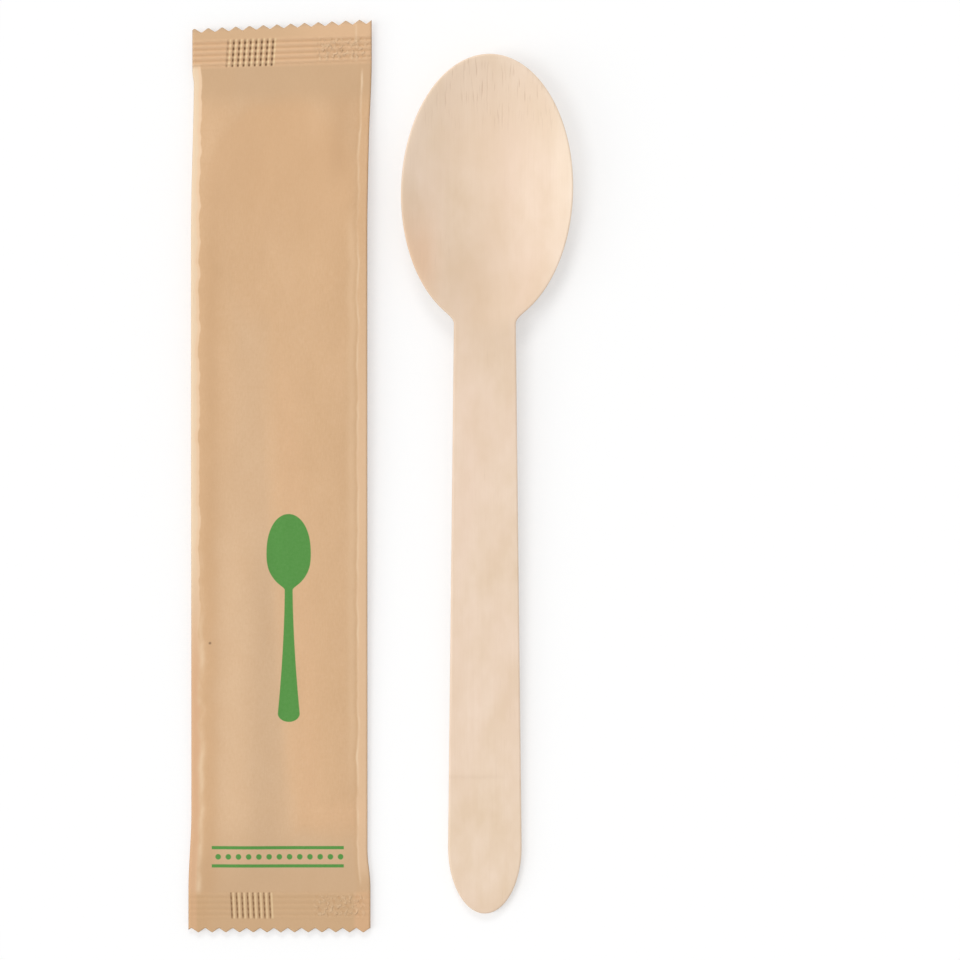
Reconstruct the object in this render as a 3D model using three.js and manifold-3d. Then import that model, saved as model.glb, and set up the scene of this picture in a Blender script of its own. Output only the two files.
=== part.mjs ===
// Wooden cutlery pack: a sealed paper sachet and, beside it, a pressed wooden spoon like the one inside.
// Millimetres, +Z up. Both pieces lie on the table along Y, handle end towards -Y, bowl end towards +Y.
import * as THREE from "three";
import { mergeVertices } from "three/addons/utils/BufferGeometryUtils.js";
import Module from "manifold-3d";

// Spoon: veneer pressed to a shallow bowl, then cut to its outline
const SPOON_LENGTH = 160;
const VENEER = 1.6; // thickness of the wood
const BOWL_WIDTH = 32;
const BOWL_LENGTH = 50.8;
const BOWL_DEPTH = 4.2; // from the handle's level down to the bottom of the hollow
const BOWL_EASE = 1.2; // how far inside the bowl's edge the hollow starts to level out
const BOWL_LEAN = 1.0; // degrees that the bowl leans off the handle's line
const NECK_WIDTH = 11.5;
const NECK_FILLET = 1.6; // how far the curve at the neck reaches out onto the bowl
const HANDLE_END_WIDTH = 13.7;
const HANDLE_TIP = 12.4; // length of the rounded end

// Sachet: two sheets of paper sealed along both sides and crimped at both ends
const SACHET_LENGTH = 169.3; // along the middle, from tooth tip to tooth tip
const UPPER_SEAL_WIDTH = 33.4; // across the crimped ends, where the paper lies flat
const LOWER_SEAL_WIDTH = 33.9;
const POUCH_WIDTH = 32.8; // across the filled part, which draws in
const SIDE_SEAM = 1.9; // width of the pressed seam along each side
const SEAM_PUCKER = 0.35; // how far the seam's inner edge wanders
const LOWER_SEAL_HEIGHT = 1.1; // the pressed sheets above the table, at the lower seal
const BOWL_SEAM_HEIGHT = 3; // at the side seams beside the packed bowl, level with its edge
const UPPER_SEAL_HEIGHT = 1.7;
const SEAL_THICKNESS = 0.3; // two sheets pressed together
const SEAL_LENGTH = 7.6; // each crimped end, from its tooth tips to the pouch
const RIB_COUNT = 5;
const RIB_PITCH = 1.07;
const RIB_DEPTH = 0.28; // from a rib's crest to the groove beside it
const TOOTH_PITCH = 2.56;
const TOOTH_DEPTH = 0.88;
const UPPER_TOOTH_START = 0.4; // from the seal's left edge to the first tooth's tip
const LOWER_TOOTH_START = 1.85;
const TOP_CUT_SKEW = 3.1; // degrees that the upper cut runs out of square
const TOP_SEAL_SKEW = 1.9; // and the crimp below it
const TOP_SEAL_SHIFT = 0.5; // the upper seal stands off the middle line, to the right
const TOP_FADE = 32; // length over which the pouch comes back to square and to the middle
const UPPER_LEFT_DRAW_IN = 3; // length over which the paper draws in from the seal to the pouch
const UPPER_RIGHT_DRAW_IN = 14;
const LOWER_LEFT_DRAW_IN = 14;
const LOWER_RIGHT_DRAW_IN = 7.5;

// How the packed spoon shapes the paper
const PAPER_LIFT = 0.5; // the upper sheet above the seams
const BOWL_HOLLOW = 0.7; // its sag over the packed bowl
const HANDLE_RIDGE = 0.3; // the packed handle's own step
const HANDLE_STEP = 3.6; // width of the slope from the paper up to the handle's left edge
const SLACK_FOLD = 0.8; // height of the loose fold beside the handle
const SLACK_FOLD_WIDTH = 3.3;
const SLACK_FOLD_OFFSET = 12.4; // from the handle's middle to the fold's crest
const BELLY_SLACK = 1.2; // how far the lower sheet would hang past the table, which flattens it
const PACKED_BOWL_LENGTH = 43;
const PACKED_HANDLE_WIDTH = 11.5;
const PACKED_HANDLE_SHIFT = 3; // at the neck, the handle stands off the middle line, to the right
const PACKED_HANDLE_LEAN = 3.3; // degrees, the handle's end swings to the right
const PACKED_TIP_GAP = 5.2; // from the upper seal to the packed bowl's tip
const PACKED_END_GAP = 11; // from the lower seal to the packed handle's end

// How the two lie beside each other
const SIDE_GAP = 5.75; // between the sachet's lower seal and the bowl, across
const SPOON_SETBACK = 3.6; // the handle's end, above the sachet's lower cut

// How finely the curves are cut
const DISH_RINGS = 11;
const DISH_SEGMENTS = 64;
const OUTLINE_STEPS = 18;
const POUCH_COLUMNS = 16;
const POUCH_STEP = 3;

const wasm = await Module();
wasm.setup();

const wood = new THREE.MeshStandardMaterial({ color: 0xead0b6, roughness: 0.7, metalness: 0 });
const kraft = new THREE.MeshStandardMaterial({ color: 0xd8b28b, roughness: 0.85, metalness: 0 });

const { clamp, degToRad, lerp, smoothstep } = THREE.MathUtils;

// A closed geometry as a solid that can be cut
function solid(geometry) {
  const bare = geometry.clone();
  bare.deleteAttribute("normal");
  bare.deleteAttribute("uv");
  const merged = mergeVertices(bare);
  const triangles = [];
  const index = merged.index.array;
  for (let i = 0; i < index.length; i += 3) {
    const [a, b, c] = index.slice(i, i + 3);
    if (a !== b && b !== c && c !== a) triangles.push(a, b, c);
  }
  return new wasm.Manifold(
    new wasm.Mesh({
      numProp: 3,
      vertProperties: new Float32Array(merged.attributes.position.array),
      triVerts: new Uint32Array(triangles),
    }),
  );
}

// A cut solid back as a geometry
function geometryOf(cut) {
  const mesh = cut.getMesh();
  const positions = new Float32Array(mesh.numVert * 3);
  for (let i = 0; i < mesh.numVert; i++) {
    positions.set(mesh.vertProperties.subarray(i * mesh.numProp, i * mesh.numProp + 3), i * 3);
  }
  const geometry = new THREE.BufferGeometry();
  geometry.setAttribute("position", new THREE.BufferAttribute(positions, 3));
  geometry.setIndex(new THREE.BufferAttribute(new Uint32Array(mesh.triVerts), 1));
  geometry.computeVertexNormals();
  return geometry;
}

// A closed plate between two grids of points of the same size, upper over lower
function plateBetween(upper, lower) {
  const rows = upper.length;
  const columns = upper[0].length;
  const positions = [...upper.flat(), ...lower.flat()].flat();
  const top = (row, column) => row * columns + column;
  const bottom = (row, column) => rows * columns + top(row, column);
  const triangles = [];
  const quad = (a, b, c, d) => triangles.push(a, b, c, a, c, d);
  for (let r = 0; r < rows - 1; r++) {
    for (let c = 0; c < columns - 1; c++) {
      quad(top(r, c), top(r, c + 1), top(r + 1, c + 1), top(r + 1, c));
      quad(bottom(r, c), bottom(r + 1, c), bottom(r + 1, c + 1), bottom(r, c + 1));
    }
    quad(bottom(r, 0), top(r, 0), top(r + 1, 0), bottom(r + 1, 0));
    const last = columns - 1;
    quad(bottom(r, last), bottom(r + 1, last), top(r + 1, last), top(r, last));
  }
  for (let c = 0; c < columns - 1; c++) {
    const last = rows - 1;
    quad(bottom(0, c), bottom(0, c + 1), top(0, c + 1), top(0, c));
    quad(bottom(last, c), top(last, c), top(last, c + 1), bottom(last, c + 1));
  }
  const geometry = new THREE.BufferGeometry();
  geometry.setAttribute("position", new THREE.Float32BufferAttribute(positions, 3));
  geometry.setIndex(triangles);
  return geometry;
}

// Spoon, drawn from the underside of its handle's end, which is at the origin

const bowlMiddle = SPOON_LENGTH - BOWL_LENGTH / 2;
const neckAngle = Math.acos(NECK_WIDTH / BOWL_WIDTH);
const neckY = bowlMiddle - (BOWL_LENGTH / 2) * Math.sin(neckAngle);

// The cutting outline: an elliptical bowl, a filleted neck, a handle that widens, an elliptical end
function spoonOutline() {
  const bowlHalf = BOWL_WIDTH / 2;
  const neckHalf = NECK_WIDTH / 2;
  const endHalf = HANDLE_END_WIDTH / 2;
  const filletAngle = -Math.acos((neckHalf + NECK_FILLET) / bowlHalf);
  const filletX = bowlHalf * Math.cos(filletAngle);
  const filletY = bowlMiddle + (BOWL_LENGTH / 2) * Math.sin(filletAngle);
  const filletFoot = neckY - (filletY - neckY);
  const outline = new THREE.Shape();
  outline.moveTo(neckHalf, filletFoot);
  outline.quadraticCurveTo(neckHalf, neckY, filletX, filletY);
  outline.absellipse(0, bowlMiddle, bowlHalf, BOWL_LENGTH / 2, filletAngle, Math.PI - filletAngle, false);
  outline.quadraticCurveTo(-neckHalf, neckY, -neckHalf, filletFoot);
  outline.lineTo(-endHalf, HANDLE_TIP);
  outline.absellipse(0, HANDLE_TIP, endHalf, HANDLE_TIP, Math.PI, 2 * Math.PI, false);
  return outline;
}

// The hollow's section from its middle out: [radius as a share of the bowl's half width, depth].
// A parabola, then an easing curve that meets the flat sheet at the parabola's inverse radius.
function hollowSection() {
  const easeStart = 1 - BOWL_EASE / (BOWL_WIDTH / 2);
  const easeEnd = 1 / easeStart;
  const easeSteepness = (BOWL_DEPTH * easeStart) / (easeEnd - easeStart);
  return Array.from({ length: DISH_RINGS + 1 }, (_, ring) => {
    const share = (easeEnd * ring) / DISH_RINGS;
    const depth =
      share < easeStart ? BOWL_DEPTH * (1 - share ** 2) : easeSteepness * (easeEnd - share) ** 2;
    return [share, depth];
  });
}

// A sheet of veneer with the hollow pressed into it, far wider than the spoon
function pressedSheet() {
  const section = hollowSection();
  const half = BOWL_WIDTH / 2;
  const upper = section.map(([share, depth]) => new THREE.Vector2(share * half, VENEER - depth));
  const lower = upper.map((point) => new THREE.Vector2(point.x, point.y - VENEER));
  const rim = [new THREE.Vector2(SPOON_LENGTH, 0), new THREE.Vector2(SPOON_LENGTH, VENEER)];
  const sheet = new THREE.LatheGeometry([...lower, ...rim, ...upper.reverse()], DISH_SEGMENTS);
  sheet.rotateX(Math.PI / 2);
  sheet.scale(1, BOWL_LENGTH / BOWL_WIDTH, 1);
  sheet.translate(0, bowlMiddle, 0);
  return sheet;
}

function spoonGeometry() {
  const height = VENEER + BOWL_DEPTH;
  const die = new THREE.ExtrudeGeometry(spoonOutline(), {
    depth: 2 * height,
    bevelEnabled: false,
    curveSegments: OUTLINE_STEPS,
  });
  die.translate(0, 0, -height);
  const cut = geometryOf(solid(pressedSheet()).intersect(solid(die)));
  const position = cut.getAttribute("position");
  const lean = Math.tan(degToRad(BOWL_LEAN));
  for (let i = 0; i < position.count; i++) {
    const pastNeck = Math.max(0, position.getY(i) - neckY);
    position.setX(i, position.getX(i) + pastNeck * lean);
  }
  return cut;
}

// The slope at which the handle's end and the bowl's underside both touch the table
function restingSlope() {
  const reach = BOWL_LENGTH / 2;
  return Math.max(...hollowSection().map(([share, depth]) => depth / (bowlMiddle - share * reach)));
}

// Sachet, drawn about its middle on the table

const pouchHalfLength = SACHET_LENGTH / 2 - SEAL_LENGTH;
const packedTip = pouchHalfLength - PACKED_TIP_GAP;
const packedEnd = -pouchHalfLength + PACKED_END_GAP;
const packedBowlMiddle = packedTip - PACKED_BOWL_LENGTH / 2;
const packedNeck = packedTip - PACKED_BOWL_LENGTH;
const packedBowlWidth = POUCH_WIDTH - 2 * SIDE_SEAM;

// 1 over the filled part, easing to 0 where the pouch meets each seal
function fill(y) {
  const upper = clamp((pouchHalfLength - y) / (2 * PACKED_TIP_GAP), 0, 1);
  const lower = clamp((pouchHalfLength + y) / (1.5 * PACKED_END_GAP), 0, 1);
  return Math.sin((Math.PI / 2) * upper) * Math.sin((Math.PI / 2) * lower);
}

// Half width of the paper on one side, -1 left or 1 right
function halfWidth(y, side) {
  const upperReach = side < 0 ? UPPER_LEFT_DRAW_IN : UPPER_RIGHT_DRAW_IN;
  const lowerReach = side < 0 ? LOWER_LEFT_DRAW_IN : LOWER_RIGHT_DRAW_IN;
  const seal = y > 0 ? UPPER_SEAL_WIDTH : LOWER_SEAL_WIDTH;
  const drawnIn = smoothstep(pouchHalfLength - Math.abs(y), 0, y > 0 ? upperReach : lowerReach);
  return lerp(seal, POUCH_WIDTH, drawnIn) / 2;
}

// Inner edge of a side seam, which wanders as the paper puckers
function seamWidth(y, side) {
  const wander = Math.sin(0.57 * y + 2 * side) + Math.sin(0.86 * y - side);
  return SIDE_SEAM + (SEAM_PUCKER / 2) * wander * fill(y);
}

// Height of the seams above the table.
// They rise along the packed spoon to its bowl, then fall to the upper seal.
function seamHeight(y) {
  const rise = smoothstep(y, packedEnd, packedNeck) * (BOWL_SEAM_HEIGHT - LOWER_SEAL_HEIGHT);
  const fall = smoothstep(y, packedBowlMiddle, pouchHalfLength) * (BOWL_SEAM_HEIGHT - UPPER_SEAL_HEIGHT);
  return LOWER_SEAL_HEIGHT + rise - fall;
}

// Height that the packed spoon and the slack paper give the upper sheet above the seams
function contentRise(x, y) {
  const handleMiddle = PACKED_HANDLE_SHIFT + (packedNeck - y) * Math.tan(degToRad(PACKED_HANDLE_LEAN));
  const beside = x - handleMiddle;
  const pastNeck = smoothstep(y, packedNeck - PACKED_BOWL_LENGTH / 2, packedNeck);
  const pastEdge = beside + PACKED_HANDLE_WIDTH / 2;
  const onHandle = smoothstep(pastEdge, -HANDLE_STEP / 2, HANDLE_STEP / 2);
  const pastEnd = smoothstep(y - packedEnd, -HANDLE_STEP / 2, HANDLE_STEP / 2);
  const offFold = (beside + SLACK_FOLD_OFFSET) / SLACK_FOLD_WIDTH;
  const bowlAcross = (2 * x) / packedBowlWidth;
  const bowlAlong = (2 * (y - packedBowlMiddle)) / PACKED_BOWL_LENGTH;
  const insideBowl = Math.max(0, 1 - bowlAcross ** 2 - bowlAlong ** 2);
  const loose = HANDLE_RIDGE * onHandle * pastEnd + SLACK_FOLD * Math.exp(-(offFold ** 2));
  return PAPER_LIFT + loose * (1 - pastNeck) - BOWL_HOLLOW * insideBowl;
}

// Rows of the sachet along Y as [y, rib height]: fine over the ribs, even over the pouch.
// One spare row lies past each cut.
function sachetRows() {
  const seal = Array.from({ length: 2 * RIB_COUNT + 1 }, (_, half) => [
    (half * RIB_PITCH) / 2,
    (half % 2 ? 0.5 : -0.5) * RIB_DEPTH,
  ]);
  seal.push([(RIB_COUNT + 0.5) * RIB_PITCH, 0]);
  seal.push([SEAL_LENGTH + TOOTH_DEPTH, 0]);
  const steps = Math.round((2 * pouchHalfLength) / POUCH_STEP);
  const pouch = Array.from({ length: steps - 1 }, (_, i) => [
    lerp(-pouchHalfLength, pouchHalfLength, (i + 1) / steps),
    0,
  ]);
  const lowerSeal = seal.map(([out, rib]) => [-pouchHalfLength - out, rib]).reverse();
  const upperSeal = seal.map(([out, rib]) => [pouchHalfLength + out, rib]);
  return [...lowerSeal, ...pouch, ...upperSeal];
}

// One row's points on the upper and the lower sheet
function sachetSection([y, rib]) {
  const left = -halfWidth(y, -1);
  const right = halfWidth(y, 1);
  const seamLeft = left + seamWidth(y, -1);
  const seamRight = right - seamWidth(y, 1);
  const nearTop = smoothstep(y, pouchHalfLength - TOP_FADE, pouchHalfLength);
  const seam = seamHeight(y) + rib;
  const upper = [];
  const lower = [];
  const addPoint = (x, crown) => {
    const across = x + TOP_SEAL_SHIFT * nearTop;
    const along = y + x * Math.tan(degToRad(TOP_SEAL_SKEW)) * nearTop;
    const swell = crown * fill(y);
    const over = seam + SEAL_THICKNESS / 2 + swell * contentRise(x, y);
    const under = Math.max(0, seam - SEAL_THICKNESS / 2 - swell * (seam + BELLY_SLACK));
    upper.push([across, along, over]);
    lower.push([across, along, under]);
  };
  addPoint(left, 0);
  for (let column = 0; column <= POUCH_COLUMNS; column++) {
    const across = (2 * column) / POUCH_COLUMNS - 1;
    addPoint(lerp(seamLeft, seamRight, column / POUCH_COLUMNS), 1 - across ** 6);
  }
  addPoint(right, 0);
  return { upper, lower };
}

// A toothed edge from left to right: [x, how far the edge falls back from the tooth tips]
function toothedEdge(width, start) {
  const halfTeeth = 2 * Math.ceil(width / TOOTH_PITCH) + 5;
  return Array.from({ length: halfTeeth }, (_, i) => [
    -width / 2 + start + ((i - 2) * TOOTH_PITCH) / 2,
    i % 2 ? TOOTH_DEPTH : 0,
  ]);
}

// The knives' plan: a strip as long as the sachet, toothed across both ends
function knifeOutline() {
  const reach = SACHET_LENGTH / 2;
  const skew = Math.tan(degToRad(TOP_CUT_SKEW));
  const lower = toothedEdge(LOWER_SEAL_WIDTH, LOWER_TOOTH_START).map(
    ([x, fall]) => new THREE.Vector2(x, fall - reach),
  );
  const upper = toothedEdge(UPPER_SEAL_WIDTH, UPPER_TOOTH_START).map(
    ([x, fall]) => new THREE.Vector2(x + TOP_SEAL_SHIFT, reach - fall + x * skew),
  );
  return new THREE.Shape([...lower, ...upper.reverse()]);
}

function sachetGeometry() {
  const sections = sachetRows().map(sachetSection);
  const pouch = plateBetween(
    sections.map((section) => section.upper),
    sections.map((section) => section.lower),
  );
  const height = 4 * BOWL_SEAM_HEIGHT;
  const knife = new THREE.ExtrudeGeometry(knifeOutline(), { depth: 2 * height, bevelEnabled: false });
  knife.translate(0, 0, -height);
  return geometryOf(solid(pouch).intersect(solid(knife)));
}

const sachet = new THREE.Mesh(sachetGeometry(), kraft);
sachet.name = "paper_sachet";

const spoon = new THREE.Mesh(spoonGeometry(), wood);
spoon.name = "wooden_spoon";
spoon.rotation.x = Math.atan(restingSlope());
const bowlShift = (bowlMiddle - neckY) * Math.tan(degToRad(BOWL_LEAN));
spoon.position.x = LOWER_SEAL_WIDTH / 2 + SIDE_GAP + BOWL_WIDTH / 2 - bowlShift;
spoon.position.y = -SACHET_LENGTH / 2 + SPOON_SETBACK;

// The pair is centred over the origin, on the table
const pack = new THREE.Group();
pack.add(sachet, spoon);
const middle = new THREE.Box3().setFromObject(pack, true).getCenter(new THREE.Vector3());
pack.position.set(-middle.x, -middle.y, 0);

export default pack;
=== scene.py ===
"""Wooden cutlery pack: a sealed kraft paper sachet and a pressed birch spoon, lying on a white table.

Sizes are in millimetres and become metres in the last step of each shape.
"""

import math

import bpy
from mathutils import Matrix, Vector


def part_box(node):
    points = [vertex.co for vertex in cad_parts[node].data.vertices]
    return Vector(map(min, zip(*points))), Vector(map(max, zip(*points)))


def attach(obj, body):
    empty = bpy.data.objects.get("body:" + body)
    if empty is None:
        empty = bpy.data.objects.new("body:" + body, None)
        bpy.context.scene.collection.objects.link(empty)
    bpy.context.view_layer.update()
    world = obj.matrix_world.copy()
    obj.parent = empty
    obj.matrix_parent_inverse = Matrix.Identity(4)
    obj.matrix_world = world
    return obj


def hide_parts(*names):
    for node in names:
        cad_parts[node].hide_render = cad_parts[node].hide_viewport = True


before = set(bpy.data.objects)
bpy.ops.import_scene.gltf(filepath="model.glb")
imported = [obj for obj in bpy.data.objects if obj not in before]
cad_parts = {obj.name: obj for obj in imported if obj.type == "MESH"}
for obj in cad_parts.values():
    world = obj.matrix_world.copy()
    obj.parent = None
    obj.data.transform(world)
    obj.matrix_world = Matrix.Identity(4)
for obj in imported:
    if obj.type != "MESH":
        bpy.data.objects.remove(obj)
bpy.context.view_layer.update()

MM = 0.001
UPPER = "upper"
MERGE_REACH = 0.002


class Value:
    """A node's output that takes part in Python expressions, in shape trees and in materials."""

    def __init__(self, tree, socket):
        self.tree = tree
        self.socket = socket

    @staticmethod
    def of(tree, kind, *inputs, output=None, **settings):
        """A new node: its settings first, then its open inputs in order. None leaves one as it is.

        Its value is the output of that name, or else its first open one.
        """
        node = tree.nodes.new(kind)
        for name, setting in settings.items():
            setattr(node, name, setting)
        for socket, given in zip([s for s in node.inputs if s.enabled], inputs):
            if isinstance(given, Value):
                tree.links.new(given.socket, socket)
            elif given is not None:
                socket.default_value = given
        return Value(tree, node.outputs[output] if output else next(s for s in node.outputs if s.enabled))

    def node(self, kind, *inputs, **settings):
        return Value.of(self.tree, kind, *inputs, **settings)

    def math(self, operation, *others):
        return self.node("ShaderNodeMath", self, *others, operation=operation)

    def __add__(self, other):
        return self.math("ADD", other)

    __radd__ = __add__

    def __sub__(self, other):
        return self.math("SUBTRACT", other)

    def __rsub__(self, other):
        return self.node("ShaderNodeMath", other, self, operation="SUBTRACT")

    def __mul__(self, other):
        return self.math("MULTIPLY", other)

    __rmul__ = __mul__

    def __truediv__(self, other):
        return self.math("DIVIDE", other)

    def __rtruediv__(self, other):
        return self.node("ShaderNodeMath", other, self, operation="DIVIDE")

    def __pow__(self, power):
        return self.math("POWER", power)

    def __neg__(self):
        return self * -1.0

    def __abs__(self):
        return self.math("ABSOLUTE")

    def __lt__(self, other):
        return self.math("LESS_THAN", other)

    def __gt__(self, other):
        return self.math("GREATER_THAN", other)

    def square(self):
        return self * self

    def root(self):
        return self.math("SQRT")

    def sine(self):
        return self.math("SINE")

    def cosine(self):
        return self.math("COSINE")

    def exp(self):
        return self.math("EXPONENT")

    def at_least(self, other):
        return self.math("MAXIMUM", other)

    def at_most(self, other):
        return self.math("MINIMUM", other)

    def share(self, low=0.0, high=1.0):
        """0 at low, 1 at high, straight between and flat beyond."""
        return self.node("ShaderNodeMapRange", self, low, high, 0.0, 1.0, clamp=True)

    def eased(self, low, high):
        """0 at low, 1 at high, with soft ends."""
        return self.node(
            "ShaderNodeMapRange", self, low, high, 0.0, 1.0, interpolation_type="SMOOTHSTEP"
        )

    def between(self, low, high):
        """self as a share of the way from low to high."""
        return low + self * (high - low)

    def bump_of(self, middle, spread):
        """1 at the middle, falling like a bell."""
        return (-(((self - middle) / spread).square())).exp()

    def band(self, low, high, soft):
        """1 from low to high, with edges this soft."""
        return self.share(low - soft / 2, low + soft / 2) * self.share(high + soft / 2, high - soft / 2)

    def cover(self, contrast, level):
        """Noise made a cover from 0 to 1, with this contrast about this level."""
        return (self * contrast + level).share()

    def with_colour(self, under, over):
        """Colour over laid on colour under, with self as its cover."""
        return self.node("ShaderNodeMix", self, under, over, data_type="RGBA")


def vector(x, y, z):
    tree = next(part.tree for part in (x, y, z) if isinstance(part, Value))
    return Value.of(tree, "ShaderNodeCombineXYZ", x, y, z)


def parts(of_vector):
    separate = of_vector.node("ShaderNodeSeparateXYZ", of_vector).socket.node
    return [Value(of_vector.tree, socket) for socket in separate.outputs]


def noise(x, y, layer, detail=2.0, roughness=0.5):
    """Smooth noise about 0, mostly within -0.5 and 0.5. Each layer has a pattern of its own."""
    at = vector(x, y, layer)
    return at.node("ShaderNodeTexNoise", at, 1.0, detail, roughness) - 0.5


def spot(x, y, middle, spread):
    """Cover of a soft round stain."""
    return x.bump_of(middle[0], spread[0]) * y.bump_of(middle[1], spread[1])


def tint(red, green, blue):
    """A colour as a screen shows it, 0 to 255, as the light values that nodes take."""

    def light(step):
        step /= 255
        return step / 12.92 if step <= 0.04045 else ((step + 0.055) / 1.055) ** 2.4

    return (light(red), light(green), light(blue), 1.0)


def overlaid(colour, stains_and_painted_light):
    """The colour with each layer, a cover and a tint, laid over it in turn: stains, and painted light and
    shade.
    """
    for cover, over in stains_and_painted_light:
        colour = cover.with_colour(colour, over)
    return colour


# Shape trees


def shape_tree(name, sizes):
    """A shape tree with one named input for each size, and those inputs."""
    tree = bpy.data.node_groups.new(name, "GeometryNodeTree")
    tree.interface.new_socket("Geometry", in_out="OUTPUT", socket_type="NodeSocketGeometry")
    for label in sizes:
        tree.interface.new_socket(label, in_out="INPUT", socket_type="NodeSocketFloat")
    tree.interface.new_socket("Material", in_out="INPUT", socket_type="NodeSocketMaterial")
    entry = tree.nodes.new("NodeGroupInput")
    return tree, {s.name: Value(tree, s) for s in entry.outputs if s.name}


def two_skins(tree, columns, rows, place, material):
    """An upper and a lower skin that meet along one outline, joined to a closed shape.

    place takes a share across, a share along and 1 or -1, and gives a point in millimetres.
    The faces at two corners are split towards the middle, so that no flap is left between the skins.
    """
    skins = []
    for side in (1, -1):
        grid = Value.of(tree, "GeometryNodeMeshGrid", 1.0, 1.0, columns, rows)
        across, along, _ = parts(Value.of(tree, "GeometryNodeInputPosition"))
        at_corner = abs(across - along) > 1 - 0.5 / (columns - 1) - 1 / (rows - 1)
        grid = grid.node("GeometryNodeTriangulate", grid, at_corner, quad_method="FIXED_ALTERNATE")
        point = place(across + 0.5, along + 0.5, side)
        metres = point.node("ShaderNodeVectorMath", point, (MM, MM, MM), operation="MULTIPLY")
        skin = grid.node("GeometryNodeSetPosition", grid, None, metres)
        if side < 0:
            skin = skin.node("GeometryNodeFlipFaces", skin)
        skin = skin.node("GeometryNodeStoreNamedAttribute", skin, None, UPPER, float(side > 0))
        skins.append(skin)
    join = tree.nodes.new("GeometryNodeJoinGeometry")
    for skin in skins:
        tree.links.new(skin.socket, join.inputs[0])
    shape = Value(tree, join.outputs[0])
    shape = shape.node("GeometryNodeMergeByDistance", shape, None, MERGE_REACH * MM)
    shape = shape.node("GeometryNodeSetShadeSmooth", shape)
    shape = shape.node("GeometryNodeRealizeInstances", shape)
    shape = shape.node("GeometryNodeSetMaterial", shape, None, material)
    leave = tree.nodes.new("NodeGroupOutput")
    tree.links.new(shape.socket, leave.inputs[0])


def grown(name, tree, sizes, material):
    """A plain mesh object from a shape tree."""
    piece = bpy.data.objects.new(name, bpy.data.meshes.new(name + " start"))
    bpy.context.scene.collection.objects.link(piece)
    modifier = piece.modifiers.new("Shape", "NODES")
    modifier.node_group = tree
    for item in tree.interface.items_tree:
        if item.in_out == "INPUT":
            modifier[item.identifier] = material if item.name == "Material" else sizes[item.name]
    bpy.context.view_layer.update()
    evaluated = piece.evaluated_get(bpy.context.evaluated_depsgraph_get())
    mesh = bpy.data.meshes.new_from_object(evaluated)
    mesh.name = name
    piece.modifiers.remove(modifier)
    piece.data = mesh
    return piece


# Spoon shape, drawn from the underside of its handle's end

SPOON = {
    "Length": 160.0,
    "Veneer": 1.6,
    "Edge radius": 0.35,
    "Bowl width": 32.0,
    "Bowl length": 50.8,
    "Bowl depth": 4.2,
    "Bowl ease": 1.2,
    "Neck width": 11.5,
    "Neck fillet": 2.6,
    "End width": 13.7,
    "Tip length": 12.4,
}
BOWL_LEAN = math.tan(math.radians(1.0))
BOWL_MIDDLE = SPOON["Length"] - SPOON["Bowl length"] / 2
NECK_ANGLE = math.acos(SPOON["Neck width"] / SPOON["Bowl width"])
NECK = BOWL_MIDDLE - SPOON["Bowl length"] / 2 * math.sin(NECK_ANGLE)
# At this slope the handle's end and the bowl both touch the table.
SPOON_SLOPE = math.radians(1.803)
# Taken off an outline beyond its own stretch, so that it no longer counts there.
OUT_OF_REACH = 50.0
# Without this, rounding leaves a slit at the bowl's tip.
ROUNDING_LOSS = 2e-6
SPOON_COLUMNS, SPOON_ROWS = 91, 420

spoon_low, spoon_high = (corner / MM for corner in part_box("wooden_spoon"))
SPOON_X = (spoon_low.x + spoon_high.x) / 2 - (BOWL_MIDDLE - NECK) * BOWL_LEAN
SPOON_Y = spoon_low.y + SPOON["Veneer"] * math.sin(SPOON_SLOPE)


def spoon_half_width(y, size):
    """Half the stamped width: an elliptical end, a handle that narrows to the neck, an elliptical bowl."""
    end = size["End width"] / 2
    neck = size["Neck width"] / 2
    tip = size["Tip length"]
    rounding = (1 - (1 - y / tip).at_least(0).square()).at_least(0).root()
    handle = y.share(tip, NECK).between(end, neck) * rounding
    handle = handle - OUT_OF_REACH * (y > BOWL_MIDDLE)
    reach = (y - BOWL_MIDDLE) / (size["Bowl length"] / 2)
    bowl = size["Bowl width"] / 2 * (1 - ROUNDING_LOSS - reach.square()).at_least(0).root()
    bowl = bowl - OUT_OF_REACH * (abs(reach) > 1.0)
    return handle.math("SMOOTH_MAX", bowl, size["Neck fillet"]).at_least(0)


def hollow_depth(x, y, size):
    """How deep the press has pushed the sheet: a parabola that eases out at the bowl's edge."""
    half = size["Bowl width"] / 2
    depth = size["Bowl depth"]
    radius = ((x / half).square() + ((y - BOWL_MIDDLE) / (size["Bowl length"] / 2)).square()).root()
    ease_start = 1 - size["Bowl ease"] / half
    ease_end = 1 / ease_start
    inner = depth * (1 - radius.square())
    steepness = depth * ease_start / (ease_end - ease_start)
    outer = steepness * (ease_end - radius).at_least(0).square()
    return (radius < ease_start).between(outer, inner)


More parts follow.
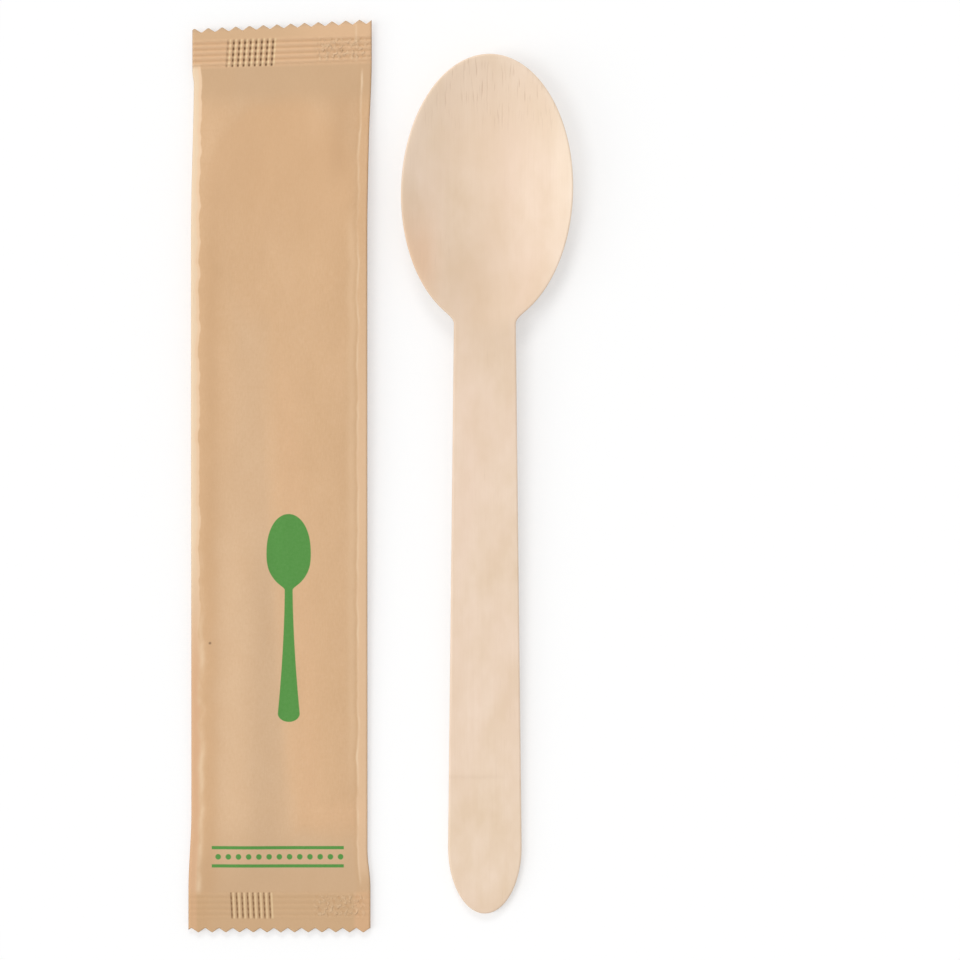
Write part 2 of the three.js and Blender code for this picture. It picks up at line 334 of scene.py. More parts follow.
def spoon_tree():
    tree, size = shape_tree("Pressed spoon", SPOON)
    half_veneer = size["Veneer"] / 2
    edge = size["Edge radius"]
    edge_share = 0.2
    wall_share = 0.25
    step = 0.02

    def place(across, along, side):
        y = (1 - (along * math.pi).cosine()) / 2 * size["Length"]
        half = spoon_half_width(y, size)
        slope = (spoon_half_width(y + step, size) - spoon_half_width(y - step, size)) / (2 * step)
        inward = 1 / (1 + slope.square()).root()
        off_middle = across * 2 - 1
        out = abs(off_middle)
        up_edge = (1 - out).share(0.0, edge_share)
        turn = up_edge.share(wall_share, 1.0) * (math.pi / 2)
        inset = edge * (1 - turn.cosine())
        lift = (half_veneer - edge) * up_edge.share(0.0, wall_share) + edge * turn.sine()
        x = out.share(0.0, 1 - edge_share) * (half - inset * inward).at_least(0)
        x = x * off_middle.math("SIGN")
        y = y + inset * inward * slope
        z = half_veneer + side * lift - hollow_depth(x, y, size)
        x = x + (y - NECK).at_least(0) * BOWL_LEAN
        cos, sin = math.cos(SPOON_SLOPE), math.sin(SPOON_SLOPE)
        return vector(x + SPOON_X, y * cos - z * sin + SPOON_Y, y * sin + z * cos)

    two_skins(tree, SPOON_COLUMNS, SPOON_ROWS, place, size["Material"])
    return tree


# Sachet shape, drawn about its middle on the table

SACHET = {
    "Length": 169.3,
    "Upper seal width": 33.4,
    "Lower seal width": 33.9,
    "Pouch width": 32.8,
    "Seal length": 7.6,
    "Seal thickness": 0.3,
    "Lower seal height": 1.1,
    "Bowl seam height": 3.0,
    "Upper seal height": 1.7,
    "Left seam": 1.5,
    "Right seam": 1.9,
    "Left wander": 1.8,
    "Right wander": 1.3,
    "Rib pitch": 1.07,
    "Rib depth": 0.28,
    "Tooth pitch": 2.56,
    "Tooth depth": 0.88,
    "Paper lift": 0.5,
    "Bowl hollow": 0.7,
    "Handle ridge": 0.3,
    "Slack fold": 1.1,
    "Belly slack": 1.2,
    "Pucker": 0.6,
    "Crumple": 0.4,
}
TOP_CUT_SKEW = math.tan(math.radians(3.1))
TOP_SEAL_SKEW = math.tan(math.radians(1.9))
TOP_SEAL_SHIFT = 0.5
TOP_SKEW_RUN = 32.0
HANDLE_LEAN = math.tan(math.radians(3.3))
POUCH_END = SACHET["Length"] / 2 - SACHET["Seal length"]
UPPER_FILL_RUN = 10.4
LOWER_FILL_RUN = 16.5
UPPER_CORNER_RUN = {-1: 3.0, 1: 14.0}
LOWER_CORNER_RUN = {-1: 14.0, 1: 7.5}
SEAM_WAVES = {-1: 0.19, 1: 0.16}
# The press ends before a sixth groove.
RIBS_END = 4.75 * SACHET["Rib pitch"]
LOWER_RIBS = 0.35
UPPER_TOOTH_START = 0.4
LOWER_TOOTH_START = 1.85
PACKED_BOWL_LENGTH = 43.0
PACKED_BOWL_HALF = SACHET["Pouch width"] / 2 - SACHET["Right seam"]
PACKED_TIP_CLEARANCE = 5.2
PACKED_END_CLEARANCE = 11.0
PACKED_TIP = POUCH_END - PACKED_TIP_CLEARANCE
PACKED_BOWL_MIDDLE = PACKED_TIP - PACKED_BOWL_LENGTH / 2
PACKED_NECK = PACKED_TIP - PACKED_BOWL_LENGTH
PACKED_END = PACKED_END_CLEARANCE - POUCH_END
PACKED_HANDLE_HALF = 5.75
PACKED_HANDLE_SHIFT = 3.0
PACKED_NECK_RUN = 20.0
FOLD_MIDDLE = -5.6
FOLD_SPREAD = 4.6
FOLD_START = 2.0
FOLD_FULL = -24.0
# This near the edge the paper has no thickness, so that both sheets meet there.
CLOSED = 0.001
SACHET_COLUMNS, SACHET_ROWS = 131, 380

sachet_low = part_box("paper_sachet")[0] / MM
SACHET_X = sachet_low.x + SACHET["Lower seal width"] / 2
SACHET_Y = sachet_low.y + SACHET["Length"] / 2


def pouch_fill(y):
    """1 over the filled part, easing to 0 at each seal."""
    upper = (POUCH_END - y).share(0.0, UPPER_FILL_RUN)
    lower = (POUCH_END + y).share(0.0, LOWER_FILL_RUN)
    return (upper * (math.pi / 2)).sine() * (lower * (math.pi / 2)).sine()


def tooth_fall(x, width, start, size):
    """How far a toothed cut falls back from its tips."""
    turns = (x + width / 2 - start) / size["Tooth pitch"]
    return turns.math("PINGPONG", 0.5) * 2 * size["Tooth depth"]


def near_top(y):
    """1 at the upper seal, which lies askew and off the middle, easing to 0 further down."""
    return y.eased(POUCH_END - TOP_SKEW_RUN, POUCH_END)


def sachet_half_width(y, side, size):
    """Half width: wide at the flat seals, drawn in over the filled part, more steeply at two corners."""
    pouch = size["Pouch width"]
    upper = (size["Upper seal width"] - pouch) * (POUCH_END - y).eased(UPPER_CORNER_RUN[side], 0.0)
    lower = (size["Lower seal width"] - pouch) * (POUCH_END + y).eased(LOWER_CORNER_RUN[side], 0.0)
    return (pouch + upper + lower) / 2


def seam_width(y, side, size):
    """Width of a side seam, whose inner edge wanders as the paper puckers, more on the left."""
    name = "Left" if side < 0 else "Right"
    own_line = 7.0 * side
    wander = noise(own_line, y * SEAM_WAVES[side], layer=3.0)
    return size[name + " seam"] + wander * size[name + " wander"] * pouch_fill(y)


def seam_height(y, size):
    """Height of the seams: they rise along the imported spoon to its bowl, then fall to the upper seal."""
    low, high, end = size["Lower seal height"], size["Bowl seam height"], size["Upper seal height"]
    rise = y.eased(PACKED_END, PACKED_NECK) * (high - low)
    fall = y.eased(PACKED_BOWL_MIDDLE, POUCH_END) * (high - end)
    return low + rise - fall


def beside_handle(x, y):
    """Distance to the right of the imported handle's middle line, which swings to the right."""
    return x - (PACKED_NECK - y) * HANDLE_LEAN - PACKED_HANDLE_SHIFT


def bowl_radius(x, y):
    """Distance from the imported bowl's middle, 1 at its edge."""
    along = (y - PACKED_BOWL_MIDDLE) / (PACKED_BOWL_LENGTH / 2)
    return ((x / PACKED_BOWL_HALF).square() + along.square()).root()


def content_rise(x, y, size):
    """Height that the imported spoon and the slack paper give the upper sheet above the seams."""
    beside = beside_handle(x, y)
    side_slope, end_slope = 1.8, 2.0
    past_neck = y.eased(PACKED_NECK - PACKED_NECK_RUN, PACKED_NECK)
    on_handle = (beside + PACKED_HANDLE_HALF).eased(-side_slope, side_slope)
    on_handle = on_handle * (y - PACKED_END).eased(-end_slope, end_slope)
    fold = x.bump_of(FOLD_MIDDLE, FOLD_SPREAD) * y.eased(FOLD_START, FOLD_FULL)
    inside_bowl = (1 - bowl_radius(x, y).square()).at_least(0)
    loose = size["Handle ridge"] * on_handle + size["Slack fold"] * fold
    return size["Paper lift"] + loose * (1 - past_neck) - size["Bowl hollow"] * inside_bowl


def rib_height(y, size):
    """The crimp across both seals, as waves that run through both sheets, fainter at the lower end."""
    out = abs(y) - POUCH_END
    waves = (out / size["Rib pitch"] * (2 * math.pi)).cosine() * (y > 0.0).between(LOWER_RIBS, 1.0)
    return waves * size["Rib depth"] / -2 * out.band(0.0, RIBS_END, 0.2)


def sachet_tree():
    tree, size = shape_tree("Sealed sachet", SACHET)
    # Each end, its seal and the start of its slope, takes a larger share of the rows than of the length.
    seal_rows, seal_reach = 0.175, 9.2 / SACHET["Length"]
    edge_width = 0.1
    left_pucker, right_pucker, pucker_spread = 2.6, 3.0, 2.0

    def place(across, along, side):
        seal_share = along.share(0.0, seal_rows) + along.share(1 - seal_rows, 1.0)
        share = seal_reach * seal_share + (1 - 2 * seal_reach) * along.share(seal_rows, 1 - seal_rows)
        half_length = size["Length"] / 2
        level = share.between(-half_length, half_length)
        left = -sachet_half_width(level, -1, size)
        right = sachet_half_width(level, 1, size)
        x = across.between(left, right)
        upper_cut = half_length - tooth_fall(x, size["Upper seal width"], UPPER_TOOTH_START, size)
        upper_cut = upper_cut + x * (TOP_CUT_SKEW - TOP_SEAL_SKEW)
        lower_cut = tooth_fall(x, size["Lower seal width"], LOWER_TOOTH_START, size) - half_length
        y = share.between(lower_cut, upper_cut)
        in_left = x - left
        in_right = right - x
        at_edge = in_left.at_most(in_right).at_most(y - lower_cut).at_most(upper_cut - y)
        paper = at_edge.share(CLOSED, edge_width).root() * size["Seal thickness"] / 2
        seam_left = seam_width(y, -1, size)
        seam_right = seam_width(y, 1, size)
        inside = (in_left - seam_left) / (right - left - seam_left - seam_right)
        off_middle = (inside.share(0.0, 1.0) * 2 - 1).square()
        swell = (1 - off_middle**3) * pouch_fill(y)
        seam = seam_height(y, size) + rib_height(y, size)
        if side > 0:
            beside_left = in_left.bump_of(left_pucker, pucker_spread)
            beside_right = in_right.bump_of(right_pucker, pucker_spread)
            pucker = noise(x * 0.12, y * 0.4, layer=1.0) * size["Pucker"] * (beside_left + beside_right)
            crumple = noise(x * 0.10, y * 0.05, layer=5.0, detail=3.0) * size["Crumple"]
            z = seam + paper + swell * (content_rise(x, y, size) + crumple + pucker)
        else:
            z = (seam - paper - swell * (seam + size["Belly slack"])).at_least(0)
        top = near_top(y)
        return vector(x + top * TOP_SEAL_SHIFT + SACHET_X, y + x * top * TOP_SEAL_SKEW + SACHET_Y, z)

    two_skins(tree, SACHET_COLUMNS, SACHET_ROWS, place, size["Material"])
    return tree


# Finishes


def new_finish(name, roughness, gloss):
    """A material with this roughness and gloss, its shader and its surface coordinates in millimetres."""
    material = bpy.data.materials.new(name)
    material.use_nodes = True
    tree = material.node_tree
    shader = tree.nodes["Principled BSDF"]
    shader.inputs["Roughness"].default_value = roughness
    shader.inputs["Specular IOR Level"].default_value = gloss
    at = Value.of(tree, "ShaderNodeTexCoord", output="Object")
    at = at.node("ShaderNodeVectorMath", at, (1 / MM,) * 3, operation="MULTIPLY")
    return material, shader, at


def feed(shader, socket, value):
    value.tree.links.new(value.socket, shader.inputs[socket])


def raise_surface(shader, height):
    """Fine relief, as a height in millimetres."""
    bump = height.node("ShaderNodeBump", 1.0, MM, None, height)
    feed(shader, "Normal", bump)


# Birch veneer


def spoon_end_tone_and_painted_light(x, y):
    """Colours of the spoon's two ends: painted light towards the bowl's tip, painted shade in the hollow
    by the neck and on the near left rim, a warmer patch in the bowl, painted light on the far left rim,
    painted shade at the handle's end and a painted highlight on the right rim.
    """
    # Painted light towards the bowl's tip.
    painted_tip_light = y.eased(134.0, 153.0)
    # Painted shade in the hollow by the neck.
    painted_neck_shade = spot(x, y, middle=(-1.5, 115.0), spread=(8.5, 13.0))
    # Painted shade on the bowl's near left rim.
    painted_near_rim_shade = x.eased(-6.5, -12.0) * y.bump_of(122.0, 8.5)
    heart = spot(x, y, middle=(-2.0, 143.0), spread=(6.5, 9.0))
    # Painted light on the bowl's far left rim.
    painted_far_rim_light = x.eased(-6.0, -12.0) * y.bump_of(144.0, 10.0)
    # Painted shade at the handle's end.
    painted_end_shade = y.eased(6.0, 0.0)
    # Painted highlight on the bowl's right rim.
    painted_rim_highlight = x.eased(10.5, 15.0) * y.bump_of(139.0, 13.0)
    return [
        (painted_tip_light * 0.45, tint(243, 219, 194)),
        (painted_neck_shade * 0.55, tint(214, 183, 152)),
        (painted_near_rim_shade * 0.6, tint(233, 191, 154)),
        (heart * 0.3, tint(235, 203, 170)),
        (painted_far_rim_light * 0.25, tint(250, 228, 206)),
        (painted_end_shade * 0.15, tint(214, 181, 150)),
        (painted_rim_highlight * 0.4, tint(252, 234, 213)),
    ]


def dark_strokes(x, y):
    """Cover of short dark strokes along the grain, in patches, and thickest at the bowl's tip."""
    wavy = x * 3.2 + noise(x * 0.4, y * 0.3, layer=12.0) * 1.5
    strokes = noise(wavy, y * 0.2, layer=8.0, detail=1.0)
    patch = noise(x * 0.12, y * 0.07, layer=9.0, detail=1.0)
    near_tip = y.eased(143.0, 155.0)
    struck = patch.share(0.06, 0.24) * 0.3 + near_tip * patch.share(-0.25, 0.1)
    return strokes.share(0.09, 0.24) * struck


def birch_veneer():
    material, shader, at = new_finish("Birch veneer", roughness=0.4, gloss=0.52)
    x, y, _ = parts(at)
    x = x - SPOON_X
    y = y - SPOON_Y
    drift = noise(x * 0.05, y * 0.02, layer=0.0) * 2.5
    grain = noise((x + drift) * 0.9, y * 0.02, layer=2.0, detail=4.0, roughness=0.6)
    fibre = noise(x * 4.0, y * 0.12, layer=4.0, detail=3.0, roughness=0.65)
    clouds = noise(x * 0.17, y * 0.085, layer=6.0, detail=3.0, roughness=0.6)
    rosy = noise(x * 0.09, y * 0.03, layer=16.0)
    patchy = noise(x * 0.14, y * 0.05, layer=18.0).cover(2.4, 0.5).between(0.3, 1.0)
    strokes = dark_strokes(x, y)
    cross_line = (y + noise(x * 0.3, 0.0, layer=14.0) * 0.8).bump_of(25.4, 0.4) * x.eased(7.0, -1.0)
    ground = clouds.cover(2.6, 0.5).with_colour(tint(229, 203, 174), tint(240, 217, 195))
    stains_and_painted_light = [
        (rosy.cover(2.0, 0.2) * 0.6, tint(238, 209, 189)),
        *spoon_end_tone_and_painted_light(x, y),
        (grain.cover(2.0, 0.2) * 0.28 * patchy, tint(221, 191, 161)),
        (fibre.cover(1.8, 0.1) * 0.25 * patchy, tint(215, 183, 152)),
        (strokes * 0.5, tint(182, 145, 114)),
        (cross_line * 0.1, tint(190, 152, 120)),
    ]
    feed(shader, "Base Color", overlaid(ground, stains_and_painted_light))
    raise_surface(shader, fibre * 0.012 + grain * 0.02 - strokes * 0.03)
    return material


# Kraft paper


class PaperPoint:
    """Where a point of the sachet's paper lies, in the sachet's own millimetres.

    level is its height along the sachet with the upper seal set straight, and out is how far it lies
    past the pouch's end, on a seal.
    """

    def __init__(self, at):
        x, y, _ = parts(at)
        self.y = y - SACHET_Y
        top = near_top(self.y)
        self.x = x - SACHET_X - top * TOP_SEAL_SHIFT
        self.level = self.y - self.x * top * TOP_SEAL_SKEW
        self.upper_half = self.y > 0.0
        self.upper_sheet = at.node("ShaderNodeAttribute", attribute_name=UPPER, output="Fac")
        self.past_left = self.past_seam(-1)
        self.past_right = self.past_seam(1)
        self.out = abs(self.level) - POUCH_END
        self.sealed = self.out.share(-0.5, 0.7)
        self.open_part = 1 - self.sealed
        self.clouds = noise(self.x * 0.10, self.y * 0.04, layer=0.0, detail=4.0, roughness=0.6)

    def past_seam(self, side):
        """How far inside the inner edge of a side seam the point lies."""
        half_width = sachet_half_width(self.level, side, SACHET)
        return half_width - seam_width(self.level, side, SACHET) - self.x * side


def handle_depth(x, y):
    """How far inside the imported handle's left edge and end a point of the upper sheet lies."""
    depth = (beside_handle(x, y) + PACKED_HANDLE_HALF).at_most(y - PACKED_END)
    return depth.at_most(PACKED_BOWL_MIDDLE - y)


def bowl_depth(x, y):
    """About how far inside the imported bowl's edge a point of the upper sheet lies."""
    return (1 - bowl_radius(x, y)) * PACKED_BOWL_HALF


def packed_spoon_stains(paper):
    """The paper is greyer where no spoon backs it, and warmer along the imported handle's edge."""
    x, y = paper.x, paper.y
    on_handle = handle_depth(x, y)
    on_wood = bowl_depth(x, y).math("SMOOTH_MAX", on_handle, 4.0) + paper.clouds * 8.0
    taut = y.eased(-16.0, 14.0) * x.eased(-6.0, -11.0)
    clear_of_left = paper.past_left.eased(1.0, 4.0).at_least(y.eased(46.0, 56.0))
    clear_of_right = paper.past_right.eased(-0.5, 1.5)
    beside_tip = y.eased(50.0, 60.0) * x.share(8.0, -8.0).between(-0.25, 0.25)
    strength = y.eased(20.0, -30.0).between(0.5, 0.75) + beside_tip
    off_wood = on_wood.eased(2.4, -2.4) * (1 - taut * 0.85) * clear_of_left * clear_of_right
    warm = on_handle.bump_of(3.2, 3.0) * y.eased(30.0, 5.0)
    return [
        (off_wood * strength, tint(217, 184, 149)),
        (warm * 0.55, tint(226, 183, 142)),
    ]


def fibre_stains(paper, flecks):
    """Dark flecks, pale fibres and a broad mottle."""
    x, y = paper.x, paper.y
    fibres = noise(x * 4.5, y * 0.8, layer=4.0)
    mottle = noise(x * 0.22, y * 0.14, layer=21.0, detail=3.0, roughness=0.6)
    return [
        (flecks.cover(1.8, 0.3) * 0.35, tint(200, 160, 118)),
        (fibres.cover(1.8, 0.2) * 0.3, tint(230, 198, 163)),
        (mottle.cover(2.4, 0.4) * 0.28, tint(207, 167, 127)),
    ]


def packed_bowl_tone_and_painted_light(paper):
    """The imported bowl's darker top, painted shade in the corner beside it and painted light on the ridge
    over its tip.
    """
    x, y = paper.x, paper.y
    packed_bowl = (bowl_depth(x, y) + paper.clouds * 4.0).eased(-0.6, 1.8) * y.eased(38.0, 58.0)
    # Painted shade in the corner beside the bowl's tip.
    corner = x.bump_of(10.9, 2.2) * y.eased(52.0, 60.0) * paper.out.eased(-2.0, -8.0)
    # Painted light on the ridge over the bowl's tip.
    ridge = spot(x, y, middle=(6.6, 66.5), spread=(2.0, 5.0))
    return [
        (packed_bowl * 0.45, tint(213, 171, 129)),
        (corner * 0.5, tint(201, 161, 121)),
        (ridge * 0.22, tint(228, 190, 151)),
    ]


def seal_tone_and_painted_shade(paper):
    """Painted shade on the slopes before the seals, the pale upper seal and the darker lower one."""
    lower_half = 1 - paper.upper_half
    # Painted shade on the slopes before each seal.
    shade_near_upper_seal = paper.out.eased(-9.5, -4.0) * paper.upper_half
    shade_near_lower_seal = paper.out.eased(-16.0, -1.5) * lower_half
    return [
        ((shade_near_upper_seal + shade_near_lower_seal) * paper.open_part * 0.65, tint(201, 166, 129)),
        (paper.sealed * paper.upper_half, tint(222, 183, 144)),
        (paper.sealed * lower_half * 0.6, tint(195, 158, 117)),
    ]


def seam_tone_and_painted_light(paper):
    """The side seams: strips paler towards the top, painted shade and painted light beside them, and
    painted highlights along their inner edges, broken into pieces.
    """
    x, y, out = paper.x, paper.y, paper.out
    step_at_seals = 1.1
    past_left = paper.past_left
    past_right = paper.past_right - (out > 0.0) * step_at_seals
    left_strip = past_left.share(0.12, -0.12) * paper.open_part
    right_strip = past_right.share(0.12, -0.12) * out.eased(-1.0, -5.0) * y.eased(52.0, 5.0)
    toward_top = y.eased(-40.0, -8.0)
    strip_edge = past_left.bump_of(-0.25, 0.3) * paper.open_part * toward_top
    lower_ends = past_left.share(0.3, -0.3) + past_right.share(0.3, -0.3)
    lower_ends = lower_ends * paper.sealed * (1 - paper.upper_half)
    # Painted shade beside the seams.
    shade = past_left.bump_of(2.2, 1.9) * y.eased(54.0, 38.0) * 0.42 + past_right.bump_of(0.35, 0.25) * 0.1
    # Painted light inside the right seam.
    light = past_right.bump_of(1.0, 0.8) * y.eased(52.0, 44.0) * y.eased(-64.0, -44.0)
    broken = noise(x * 0.3, y * 0.14, layer=15.0, detail=3.0).cover(3.4, 0.6)
    # Painted highlights along the seams' inner edges.
    left_edge_highlight = past_left.bump_of(0.35, 0.55) * paper.open_part * y.eased(0.0, -40.0)
    right_edge_highlight = past_right.bump_of(-0.12, 0.2) * (1 - paper.sealed * paper.upper_half.between(1.0, 0.5))
    right_edge_highlight = right_edge_highlight * (1 - out.bump_of(-0.7, 1.5))
    right_edge_highlight = right_edge_highlight * (0.35 + y.eased(60.0, 70.0) * 0.3 + y.eased(-10.0, -40.0) * 0.2)
    return [
        (left_strip * (1 - toward_top) * 0.6, tint(223, 177, 139)),
        (left_strip * toward_top * 0.85, tint(243, 217, 185)),
        (strip_edge * 0.5, tint(240, 197, 156)),
        (right_strip * 0.5, tint(229, 195, 160)),
        (lower_ends * 0.4, tint(224, 178, 138)),
        (shade * paper.open_part, tint(199, 158, 116)),
        (light * 0.45, tint(231, 196, 158)),
        ((left_edge_highlight * 0.42 + right_edge_highlight) * broken, tint(242, 216, 182)),
    ]


def picture_of_spoon(x, y):
    """Cover of the printed spoon figure: a plain silhouette, about its own middle line."""
    top, widest, neck, heel, foot = -6.65, -14.1, -20.7, -43.8, -45.35
    middle, bowl_half, neck_half, heel_flare, fillet = 1.77, 4.1, 0.72, 1.3, 1.2
    above = ((y - widest) / (top - widest)).share()
    below = ((y - widest) / (neck - widest)).share()
    bowl = bowl_half * (1 - above**2.3).root() * (1 - below**2.5) ** 0.75
    bowl = bowl - OUT_OF_REACH * (abs(y - (top + neck) / 2) > (top - neck) / 2)
    handle = neck_half + heel_flare * y.share(neck, heel) ** 1.7
    handle = handle * (1 - y.share(heel, foot).square()).root()
    handle = handle - OUT_OF_REACH * (abs(y - (widest + foot) / 2) > (widest - foot) / 2)
    return (handle.math("SMOOTH_MAX", bowl, fillet) - abs(x - middle)).share(-0.08, 0.04)


def printed_border(x, y):
    """Cover of the printed border near the lower end: a row of dots between two rules."""
    left, right, middle = -12.6, 12.0, -70.5
    rule_inside, rule_outside, soft = 1.4, 2.0, 0.1
    dot_pitch, dot_inside, dot_outside = 1.9, 0.46, 0.58
    above = y - middle
    rules = abs(above).band(rule_inside, rule_outside, soft)
    off_dot = (x / dot_pitch).math("PINGPONG", 0.5) * dot_pitch
    dots = (off_dot.square() + above.square()).root().share(dot_outside, dot_inside)
    return rules.at_least(dots) * x.band(left, right, soft)


def printed_stains(paper):
    """The print on the upper sheet, and a dark speck in its paper."""
    x, y = paper.x, paper.y
    worn = noise(x * 1.7, y * 1.7, layer=11.0, detail=3.0, roughness=0.7)
    ink = worn.cover(1.6, 0.5).with_colour(tint(79, 142, 61), tint(93, 151, 75))
    inked = picture_of_spoon(x, y).at_least(printed_border(x, y))
    speck_x, speck_y = -12.9, -30.7
    speck = ((x - speck_x).square() + (y - speck_y).square()).root().share(0.35, 0.1)
    return [
        (inked * paper.upper_sheet, ink),
        (speck * paper.upper_sheet * 0.7, tint(96, 70, 48)),
    ]


UPPER_BARS = {"count": 9, "pitch": 1.047, "low": 76.9, "high": 82.0, "lean": -0.07}
LOWER_BARS = {"count": 8, "pitch": 1.02, "low": -82.0, "high": -77.2, "lean": 0.05}


def press_bars(paper, first, width, count, pitch, low, high, lean):
    """Cover of a block of press marks: bars across the seal that lean about the block's middle."""
    soft, end_soft = 0.1, 0.3
    x = paper.x + (paper.level - (low + high) / 2) * lean
    off_bar = ((x - first) / pitch).math("PINGPONG", 0.5) * pitch
    block = x.band(first - pitch / 2, first + (count - 0.5) * pitch, soft)
    bars = off_bar.share(width / 2 + soft, width / 2 - soft)
    return bars * block * paper.level.band(low, high, end_soft)


def dimples(paper, across, along, layer, low, high):
    """Cover of irregular pressed dimples at the right of each seal."""
    patches = noise(paper.x * across, paper.level * along, layer, detail=1.0).share(low, high)
    return patches * paper.x.band(6.6, 15.9, 1.2) * paper.out.band(0.6, 4.6, 0.8)


def crimped_ends(paper):
    """Colours and relief of the crimped ends: press bars, painted glints beside them, painted light and
    shade on the dimples, and painted shade in the rib hollows and at the tooth tips.
    """
    x, out, upper_half = paper.x, paper.out, paper.upper_half
    trough = (out / SACHET["Rib pitch"] * (2 * math.pi)).cosine() * 0.5 + 0.5
    # Painted shade in the rib hollows.
    hollow_shade = trough**3 * out.band(0.2, RIBS_END, 0.3) * upper_half.between(0.3, 1.0)
    upper_bars = press_bars(paper, first=-10.15, width=0.34, **UPPER_BARS)
    upper_glints = press_bars(paper, first=-9.75, width=0.28, **UPPER_BARS)
    lower_bars = press_bars(paper, first=-8.9, width=0.26, **LOWER_BARS)
    lower_glints = press_bars(paper, first=-8.5, width=0.3, **LOWER_BARS)
    faint_first = x.share(-9.85, -9.15).between(0.45, 1.0)
    # Painted glints beside the press bars.
    glints = upper_glints * (0.3 + (1 - trough) * 0.65) + lower_glints * 0.5
    raised = dimples(paper, across=1.5, along=1.3, layer=13.0, low=0.0, high=0.14)
    raised = raised * upper_half.between(0.7, 1.0)
    # Painted shade on the dimples.
    dimple_shade = dimples(paper, across=1.3, along=1.1, layer=17.0, low=0.03, high=0.16)
    past_ribs = out.share(4.4, 5.4) * upper_half * x.eased(8.0, -2.0)
    # Painted shade at the tooth tips.
    upper_roots = SACHET["Length"] / 2 - SACHET["Tooth depth"] + x * (TOP_CUT_SKEW - TOP_SEAL_SKEW)
    tips = (paper.level - upper_roots).share(0.0, 0.7)
    stains_and_painted_light = [
        (hollow_shade * 0.3, tint(178, 137, 94)),
        (glints, tint(240, 214, 168)),
        (upper_bars * faint_first * (0.3 + trough * 0.65), tint(98, 66, 32)),
        (lower_bars * (0.55 + trough * 0.35), tint(118, 80, 44)),
        # Painted light on the raised dimples.
        (raised * 0.38, tint(238, 208, 170)),
        (dimple_shade * 0.32, tint(190, 145, 102)),
        (past_ribs * 0.45, tint(203, 169, 130)),
        (tips * 0.55, tint(190, 163, 134)),
    ]
    return stains_and_painted_light, raised * 0.14 - (upper_bars + lower_bars) * 0.08


def kraft_paper():
    material, shader, at = new_finish("Kraft paper", roughness=0.75, gloss=0.3)
    paper = PaperPoint(at)
    flecks = noise(paper.x * 1.8, paper.y * 1.8, layer=2.0, detail=3.0, roughness=0.7)
    crease = noise(paper.x * 0.5, paper.y * 0.3, layer=7.0, detail=3.0, roughness=0.6)
    crimp_stains_and_painted_light, crimp_relief = crimped_ends(paper)
    ground = paper.clouds.cover(2.2, 0.5).with_colour(tint(213, 173, 131), tint(221, 182, 142))
    stains_and_painted_light = [
        *packed_spoon_stains(paper),
        *fibre_stains(paper, flecks),
        *packed_bowl_tone_and_painted_light(paper),
        *seal_tone_and_painted_shade(paper),
        *seam_tone_and_painted_light(paper),
        *printed_stains(paper),
        *crimp_stains_and_painted_light,
    ]
    feed(shader, "Base Color", overlaid(ground, stains_and_painted_light))
    raise_surface(shader, crease * 0.05 + flecks * 0.008 + crimp_relief)
    return material


# White table

WHITE = (1.0, 1.0, 1.0, 1.0)
CLEAN_SHARE = 0.45
TABLE_SIZE = 3000.0
TABLE_GAP = 0.05


def white_table():
    """A white floor that keeps shadows and is seen as clean white where nothing shades it."""
    material, shader, _ = new_finish("White table", roughness=0.9, gloss=0.0)
    tree = material.node_tree
    shader.inputs["Base Color"].default_value = WHITE
    camera_ray, glossy_ray, clear_ray = (
        Value.of(tree, "ShaderNodeLightPath", output=ray)
        for ray in ("Is Camera Ray", "Is Glossy Ray", "Is Transmission Ray")
    )
    seen = camera_ray.at_least(glossy_ray).at_least(clear_ray)
    glow = Value.of(tree, "ShaderNodeEmission", WHITE, 1.0)
    lit = Value(tree, shader.outputs[0])
    mixed = lit.node("ShaderNodeMixShader", seen * CLEAN_SHARE, lit, glow)
    tree.links.new(mixed.socket, tree.nodes["Material Output"].inputs["Surface"])
    return material


# Pieces

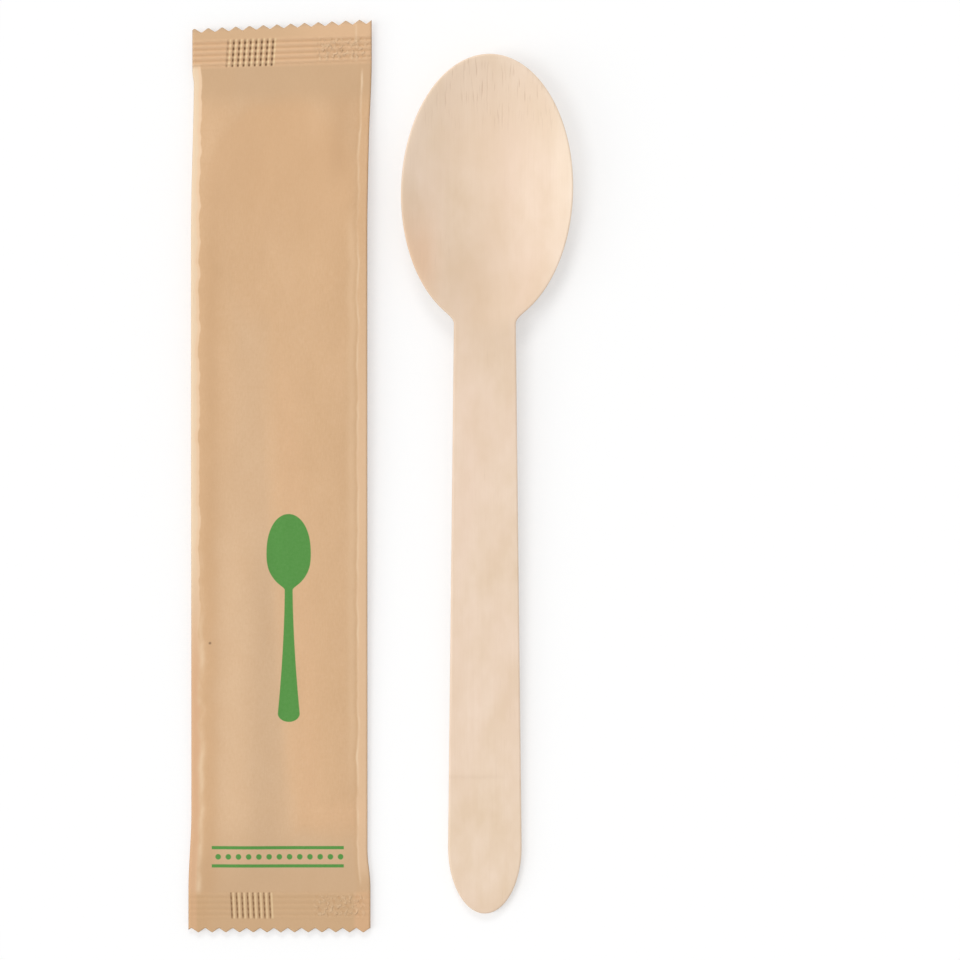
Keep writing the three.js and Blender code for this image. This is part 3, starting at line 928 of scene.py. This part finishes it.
spoon = grown("Spoon", spoon_tree(), SPOON, birch_veneer())
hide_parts("wooden_spoon")
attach(spoon, "root")

sachet = grown("Sachet", sachet_tree(), SACHET, kraft_paper())
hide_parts("paper_sachet")
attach(sachet, "root")

# Table, light and camera

bpy.ops.mesh.primitive_plane_add(size=TABLE_SIZE * MM, location=(0, 0, -TABLE_GAP * MM))
table = bpy.context.object
table.name = "Table"
table.data.materials.append(white_table())


def sun(name, azimuth, elevation, strength, softness):
    """A far lamp. Azimuth is the side it shines from, counted from +X towards +Y."""
    lamp = bpy.data.lights.new(name, "SUN")
    lamp.energy = strength
    lamp.angle = math.radians(softness)
    holder = bpy.data.objects.new(name, lamp)
    bpy.context.scene.collection.objects.link(holder)
    holder.rotation_euler = (0, math.radians(90 - elevation), math.radians(azimuth))


sun("Window light", azimuth=186, elevation=60, strength=0.66, softness=26)
sun("Low light", azimuth=190, elevation=30, strength=0.42, softness=30)
sun("Fill light", azimuth=98, elevation=44, strength=0.7, softness=20)

ROOM_LIGHT = 0.602
world = bpy.data.worlds.new("Room")
world.use_nodes = True
world.node_tree.nodes["Background"].inputs["Color"].default_value = WHITE
world.node_tree.nodes["Background"].inputs["Strength"].default_value = ROOM_LIGHT
bpy.context.scene.world = world

# The picture's middle lies this far from the sachet's middle line and from its lower end.
PICTURE_RIGHT = 37.37
PICTURE_UP = 84.33
PICTURE_PIXELS = 960
PIXELS_PER_MM = 5.372
SCALE_LEVEL = 2.5
LENS = 300.0
SENSOR = 36.0
FARTHEST_SIGHT = 20000.0
lens = bpy.data.cameras.new("Camera")
lens.lens = LENS
lens.sensor_width = SENSOR
lens.clip_end = FARTHEST_SIGHT * MM
camera = bpy.data.objects.new("Camera", lens)
bpy.context.scene.collection.objects.link(camera)
camera_height = PICTURE_PIXELS / PIXELS_PER_MM * LENS / SENSOR + SCALE_LEVEL
camera.location = (
    (SACHET_X + PICTURE_RIGHT) * MM,
    (sachet_low.y + PICTURE_UP) * MM,
    camera_height * MM,
)
bpy.context.scene.camera = camera

bpy.context.scene.view_settings.view_transform = "Standard"
